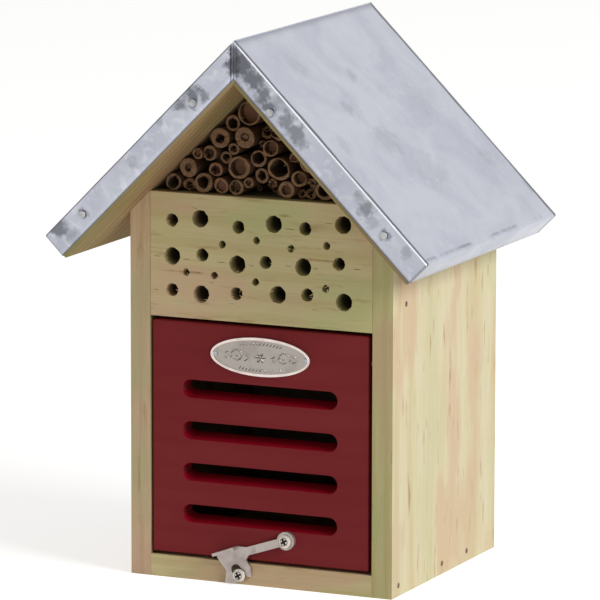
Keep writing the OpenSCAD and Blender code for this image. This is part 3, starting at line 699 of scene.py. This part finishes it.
def dentSheet(vert, side):
    co = vert.co
    inward = Vector((-side, 0, -1)).normalized()  # into the roof from the slope
    onFront = co.y < low.y + 0.05 * mm
    onBack = co.y > high.y - 0.05 * mm
    drop = (Vector((abs(co.x), 0, co.z)) - ridge).dot(Vector((1, 0, 1)).normalized())
    long = noise.noise(co / (46 * mm) + Vector((side * 4, 2, 1)))
    short = noise.noise(co / (15 * mm) + Vector((1, side * 6, 3)))
    if onFront or onBack:
        push = 0.05 + 0.10 * (0.5 + 0.5 * long) + 0.16 * (0.5 + 0.5 * short) * min(1.0, -drop / (6 * mm))
        for place in nailPlaces:
            far = math.hypot(co.x - place.x, co.z - place.z)
            push += 0.30 * math.exp(-(far / (4.2 * mm)) ** 2)
        push = min(push, 0.46)
        co.y += push * mm if onFront else -push * mm
    else:
        push = 0.12 * (0.5 + 0.5 * long) + 0.07 * (0.5 + 0.5 * short)
        co += inward * push * mm


def makeSheet():
    bm = makeSheetHalf(1)
    for vert in bm.verts:
        dentSheet(vert, 1)
    left = makeSheetHalf(-1)
    for vert in left.verts:
        dentSheet(vert, -1)
    addPart(bm, left)
    bmesh.ops.remove_doubles(bm, verts=[v for v in bm.verts if abs(v.co.x) < 0.01 * mm], dist=0.2 * mm)
    return bm


frontEnd, ridgeMm, slopeMm = low.y / mm, ridge.z / mm, slopeLength / mm
rubbed = (
    (49.6, -17, 203.2, 9, 0.16), (63.7, -3, 189, 12, 0.14), (66.5, 59.5, 186.4, 7, 0.14), (34.3, -28, 218.6, 5, 0.2),
    (23.6, 0.5, 229.3, 4, 0.2), (81.4, 74.5, 171.3, 5, 0.25), (46.2, -58, 206.7, 6, 0.12), (14.4, -39.5, 238.3, 7, 0.1),
    (38, 40, 214.8, 10, 0.1), (-40, 10, 212.8, 10, 0.14), (-62, -30, 190.8, 8, 0.16), (-20, 50, 232.8, 7, 0.14))
# on the front flanges: a painted dark reflection of the room in patches, and painted shade in the gap at the apex
flangeDirtShadeAndReflection = [(x, frontEnd, z, size, amount) for x, z, size, amount in (
    (0, 242, 4.5, 0.95), (0.5, 247, 3.5, 0.85), (5.8, 243, 6.5, 0.85), (9.5, 236.5, 6.0, 0.8), (14.5, 229.5, 4.5, 0.75),
    (12.5, 236, 4.0, 0.7), (17.0, 224.4, 3.0, 0.75), (21.5, 227.0, 4.5, 0.4), (26.2, 219.0, 5.0, 0.6), (30.6, 213.6, 5.0, 0.62),
    (33, 209.7, 3.5, 0.5), (63.9, 181.9, 4.6, 0.6), (61.0, 187.0, 3.2, 0.4), (67.3, 176.3, 3.6, 0.3), (84, 164, 3.0, 0.3),
    (-26.0, 223.4, 4.0, 0.7), (-20.1, 227.8, 4.4, 0.75), (-14.7, 226.8, 3.4, 0.6), (-87.7, 163.7, 4.8, 0.7),
    (-80, 160.2, 3.4, 0.3), (-50, 196, 3.2, 0.25), (-36, 214.5, 2.4, 0.3))]
# dark rings round the nail heads, partly dirt and partly painted shade
flangeDirtShadeAndReflection += [(p.x / mm, frontEnd, p.z / mm, 2.7, 0.8) for p in nailPlaces]
flangeDirtShadeAndReflection += [(p.x / mm + 1, -frontEnd, p.z / mm + 1, 3.6, 0.6) for p in nailPlaces]
zincTop = zincMaterial("zincSlopes", ridgeMm, slopeMm, -frontEnd, False, rubbed, 0.4)
zincEdge = zincMaterial("zincEdges", ridgeMm, slopeMm, -frontEnd, True, flangeDirtShadeAndReflection, 0.6)

sheetMesh = makeSheet()
bmesh.ops.recalc_face_normals(sheetMesh, faces=sheetMesh.faces)
if sum(f.normal.z * f.calc_area() for f in sheetMesh.faces) < 0:
    bmesh.ops.reverse_faces(sheetMesh, faces=sheetMesh.faces)
for face in sheetMesh.faces:
    face.material_index = 1 if abs(face.normal.y) > 0.35 else 0
sheet = makePiece("zincSheet", sheetMesh, "house", [zincTop, zincEdge], ("roof_cap",), 50, False)
wall = sheet.modifiers.new("wall", "SOLIDIFY")
wall.thickness = sheetShape["thickness"] * mm
wall.offset = -1
print("zinc sheet made")

# ---- nails, dowels and screws

nailSteel = steelMaterial("nailSteel", srgb(190, 190, 192), srgb(110, 110, 114), 0.42, 3.0)
oldNail = steelMaterial("rustedNail", srgb(120, 100, 80), srgb(70, 55, 45), 0.6, 9.0, 0.5)


def smallPart(node, name, body, material, width, angle=42):
    bm = mergedCopy(node)
    softenEdges(bm, width, angle)
    return makePiece(name, bm, body, material, (node,), 40)


smallPart("roof_nails", "roofNails", "house", nailSteel, 0.22)
smallPart("body_nails", "bodyNails", "house", oldNail, 0.1)
smallPart("pivot_dowels", "pivotDowels", "house", endWood, 0.25)
screwSteel = steelMaterial("screwSteel", srgb(216, 208, 198), srgb(130, 122, 112), 0.24, 6.0)
recessShade = steelMaterial("paintedRecessShade", srgb(34, 30, 27), srgb(18, 16, 14), 0.6, 4.0, 0.2)


def makeScrew(node, name, body):
    low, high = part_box(node)
    bm = mergedCopy(node)
    softenEdges(bm, 0.1, 50)
    centre = (low + high) / 2
    for face in bm.faces:  # the cross recess is painted near black, a painted shade
        middle = face.calc_center_median()
        away = math.hypot(middle.x - centre.x, middle.z - centre.z)
        if away < 1.75 * mm and low.y + 0.25 * mm < middle.y < low.y + 1.3 * mm:
            face.material_index = 1
    return makePiece(name, bm, body, [screwSteel, recessShade], (node,), 40)


makeScrew("hook_screw", "hookScrew", "door")
makeScrew("keeper_screw", "keeperScrew", "house")
print("fixings made")

# ---- door

doorShape = {"edge": 0.9, "slotRim": 1.9, "slotRise": 2.0, "slotReach": 6.0}


def makeDoor():
    low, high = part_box("door_panel")
    bm = mergedCopy("door_panel")
    softenEdges(bm, doorShape["edge"], segments=3, choose=lambda e: all(
        min(abs(v.co.x - low.x), abs(v.co.x - high.x), abs(v.co.z - low.z), abs(v.co.z - high.z)) < 0.01 * mm for v in e.verts)
        and e.calc_length() > 8 * mm)
    for opening in frame["record"]["physics"]["openings"]:  # the floor of each slot rises towards the chamber
        if opening["name"].startswith("door_slot"):
            middle = (opening["box_m"][0][2] + opening["box_m"][1][2]) / 2
            for vert in bm.verts:
                under = (middle - vert.co.z) / mm
                if vert.co.y > high.y - 0.01 * mm and 0 < under < doorShape["slotReach"] and abs(vert.co.x) < 40 * mm:
                    vert.co.z += doorShape["slotRise"] * mm * min(1.0, under / 3.7)
    inSlot = lambda v: abs(v.co.x) < 39 * mm and low.z + 12 * mm < v.co.z < high.z - 22 * mm
    softenEdges(bm, doorShape["slotRim"], segments=5, choose=lambda e: all(inSlot(v) for v in e.verts)
                and abs(e.verts[0].co.y - e.verts[1].co.y) < 0.01 * mm)
    for face in bm.faces:  # inside the slots the red is painted deeper and more saturated, standing for light bounced between the red walls
        if all(inSlot(v) for v in face.verts) and abs(face.normal.y) < 0.8:
            face.material_index = 1
    stain = redMaterial("redStain", redLook["face"], redLook["deep"], redLook["worn"])
    slotBounce = redMaterial("redSlotBounce", redLook["slotBounce"], redLook["slotBounceDeep"], redLook["slotBounce"])
    return makePiece("doorPanel", bm, "door", [stain, slotBounce], ("door_panel",))


makeDoor()
print("door made")

# ---- nameplate with a flower and leaves

plateShape = {"petals": 6, "petalLength": 2.6, "petalWidth": 1.2, "curl": 8, "sprigs": 6, "relief": 0.45}
plateSteel = steelMaterial("plateSteel", srgb(170, 163, 157), srgb(150, 142, 135), 0.3, 12.0, 0.85, 9.0)
plateShade = steelMaterial("plateShade", srgb(86, 79, 74), srgb(62, 56, 52), 0.5, 18.0, 0.5, 3.0)
rimHighlight = steelMaterial("plateRimHighlight", srgb(232, 218, 212), srgb(206, 190, 184), 0.22, 14.0, 0.8, 6.0)


def pillow(bm, centre, length, width, turn, height):
    # a low rounded leaf or petal that lies on the plate, pointing along turn
    made = bmesh.ops.create_uvsphere(bm, u_segments=14, v_segments=8, radius=0.5)["verts"]
    bmesh.ops.scale(bm, vec=(length * mm, height * mm * 2, width * mm), verts=made)
    bmesh.ops.rotate(bm, cent=(0, 0, 0), matrix=Matrix.Rotation(-turn, 3, "Y"), verts=made)
    bmesh.ops.translate(bm, vec=centre, verts=made)


def makePlate():
    low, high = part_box("nameplate")
    bm = mergedCopy("nameplate")
    softenEdges(bm, 0.16, 50)
    for rimFace in bm.faces:  # the rim is painted bright, a painted highlight
        if rimFace.calc_center_median().y < low.y + 0.25 * mm:
            rimFace.material_index = 1
    plain = set(bm.faces)
    face = low.y + 0.4 * mm  # front of the plate inside its rim
    relief = plateShape["relief"]
    middle = Vector((0, face, (low.z + high.z) / 2))

    def leaf(x, z, length, width, turn, height=relief):
        pillow(bm, middle + Vector((x * mm, 0, z * mm)), length, width, turn, height)

    for i in range(plateShape["petals"]):
        turn = math.tau * i / plateShape["petals"]
        reach = plateShape["petalLength"] * 0.62
        leaf(math.cos(turn) * reach, math.sin(turn) * reach, plateShape["petalLength"], plateShape["petalWidth"], turn)
    leaf(0, 0, 1.4, 1.4, 0, relief * 1.3)
    for side in (-1, 1):
        for i in range(plateShape["curl"]):  # a tendril that winds round a bud
            turn = i * 0.72
            reach = 3.0 - i * 0.17
            leaf(side * (11.6 + math.cos(turn) * reach), math.sin(turn) * reach, 2.3, 0.75, side * (turn + math.pi / 2), relief)
        leaf(side * 11.6, 0, 1.2, 1.2, 0)
        leaf(side * 6.4, 0.4, 3.0, 0.9, side * 0.5)
        leaf(side * 7.0, -1.6, 2.6, 0.8, side * -0.6)
        leaf(side * 16.6, 1.5, 2.4, 0.9, side * -0.5)
        leaf(side * 16.8, -1.0, 2.4, 0.9, side * 0.4)
    for up in (-1, 1):
        for i in range(-plateShape["sprigs"], plateShape["sprigs"] + 1):  # a wreath of small leaves along the rim
            angle = math.pi / 2 * up - i * 0.088
            x, z = 20.0 * math.cos(angle), 6.1 * math.sin(angle)
            leaf(x, z, 2.0, 0.7, math.copysign(0.95, i + 0.5), relief * 0.9)
    bm.normal_update()
    for raised in set(bm.faces) - plain:  # faces of each raised leaf that look down are painted in shade, those that look up get the painted highlight
        steep = raised.normal.z
        raised.material_index = 2 if steep < -0.12 else (1 if steep > 0.4 else 0)
    return makePiece("nameplateOval", bm, "door", [plateSteel, rimHighlight, plateShade], ("nameplate",), 40)


makePlate()
smallPart("nameplate_pins", "nameplatePins", "door", nailSteel, 0.1)
print("nameplate made")

# ---- hook

hookSteel = steelMaterial("hookSteel", srgb(184, 173, 168), srgb(142, 131, 127), 0.33, 15.0, 0.7, 7.0)
hookShape = {"soften": 0.2, "catch": (-11.3, 7.0), "catchRadius": 2.5}


def makeHook():
    low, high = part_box("latch_hook")
    bm = mergedCopy("latch_hook")
    softenEdges(bm, hookShape["soften"])
    hook = makePiece("latchHook", bm, "latch", hookSteel, ("latch_hook",), 40, False)
    cut = bmesh.new()
    made = bmesh.ops.create_cone(cut, cap_ends=True, segments=32, radius1=hookShape["catchRadius"] * mm,
                                 radius2=hookShape["catchRadius"] * mm, depth=9 * mm)["verts"]
    bmesh.ops.rotate(cut, cent=(0, 0, 0), matrix=Matrix.Rotation(quarter, 3, "X"), verts=made)
    bmesh.ops.translate(cut, vec=(hookShape["catch"][0] * mm, high.y, hookShape["catch"][1] * mm), verts=made)
    bmesh.ops.recalc_face_normals(cut, faces=cut.faces)
    mesh = bpy.data.meshes.new("catch")
    cut.to_mesh(mesh)
    cut.free()
    cutter = bpy.data.objects.new("catch", mesh)
    bpy.context.scene.collection.objects.link(cutter)
    carve(hook, cutter)
    for face in hook.data.polygons:
        face.use_smooth = True
    hook.data.set_sharp_from_angle(angle=math.radians(40))
    hook.modifiers.new("flatNormals", "WEIGHTED_NORMAL").keep_sharp = True


makeHook()
print("hook made")

# ---- floor, light and camera

studio = {
    "floor": (0.8, 0.8, 0.79, 1.0), "floorGlow": 0.62, "world": (1.0, 0.99, 0.97, 1.0), "ambient": 0.34, "seen": 1.0, "mirrored": 0.85,
    "keyPower": 72.0, "keyPlace": (2.95, -0.7, 1.7), "keySize": 1.4,
}

floorMesh = bmesh.new()
bmesh.ops.create_grid(floorMesh, x_segments=1, y_segments=1, size=8)
mesh = bpy.data.meshes.new("floor")
floorMesh.to_mesh(mesh)
floorMesh.free()
floor = bpy.data.objects.new("floor", mesh)
bpy.context.scene.collection.objects.link(floor)
floorPaint = bpy.data.materials.new("paleFloor")
floorPaint.use_nodes = True
floorShader = floorPaint.node_tree.nodes["Principled BSDF"]
floorShader.inputs["Base Color"].default_value = studio["floor"]
floorShader.inputs["Roughness"].default_value = 0.9
floorShader.inputs["Specular IOR Level"].default_value = 0.1
floorShader.inputs["Emission Color"].default_value = (1, 1, 1, 1)
rays = put(floorPaint.node_tree, "ShaderNodeLightPath").outputs
floorPaint.node_tree.links.new(
    calc(floorPaint.node_tree, "MULTIPLY", calc(floorPaint.node_tree, "SUBTRACT", 1.0, rays["Is Diffuse Ray"]), studio["floorGlow"]),
    floorShader.inputs["Emission Strength"])
mesh.materials.append(floorPaint)

world = bpy.data.worlds.new("studio")
bpy.context.scene.world = world
world.use_nodes = True
sky = world.node_tree
sky.nodes["Background"].inputs[0].default_value = studio["world"]
rays = put(sky, "ShaderNodeLightPath").outputs
strength = calc(sky, "ADD", studio["ambient"], calc(sky, "MULTIPLY", rays["Is Camera Ray"], studio["seen"] - studio["ambient"]))
strength = calc(sky, "ADD", strength, calc(sky, "MULTIPLY", rays["Is Glossy Ray"], studio["mirrored"] - studio["ambient"]))
sky.links.new(strength, sky.nodes["Background"].inputs[1])


def softLight(name, place, aim, size, power):
    data = bpy.data.lights.new(name, "AREA")
    data.shape = "SQUARE"
    data.size = size
    data.energy = power
    lamp = bpy.data.objects.new(name, data)
    bpy.context.scene.collection.objects.link(lamp)
    lamp.location = place
    lamp.rotation_euler = (Vector(aim) - Vector(place)).to_track_quat("-Z", "Y").to_euler()
    return lamp


softLight("key", studio["keyPlace"], (0, 0, 0.12), studio["keySize"], studio["keyPower"])

cameraSetup = {"azimuth": 24.393, "elevation": 10.096, "roll": 0.104, "distance": 2.6425, "target": (-0.0077, 0.013, 0.1216),
               "lens": 344.9}


def makeCamera():
    a, e = math.radians(cameraSetup["azimuth"]), math.radians(cameraSetup["elevation"])
    back = Vector((math.sin(a) * math.cos(e), -math.cos(a) * math.cos(e), math.sin(e)))
    data = bpy.data.cameras.new("camera")
    data.lens = cameraSetup["lens"]
    data.sensor_width = 36
    data.clip_end = 50
    camera = bpy.data.objects.new("camera", data)
    bpy.context.scene.collection.objects.link(camera)
    camera.location = Vector(cameraSetup["target"]) + back * cameraSetup["distance"]
    right = Vector((math.cos(a), math.sin(a), 0))
    frameAxes = Matrix((right, back.cross(right), back)).transposed()
    camera.rotation_euler = (frameAxes @ Matrix.Rotation(math.radians(cameraSetup["roll"]), 3, "Z")).to_euler()
    bpy.context.scene.camera = camera


makeCamera()
bpy.context.scene.view_settings.view_transform = "Standard"
print("studio made")
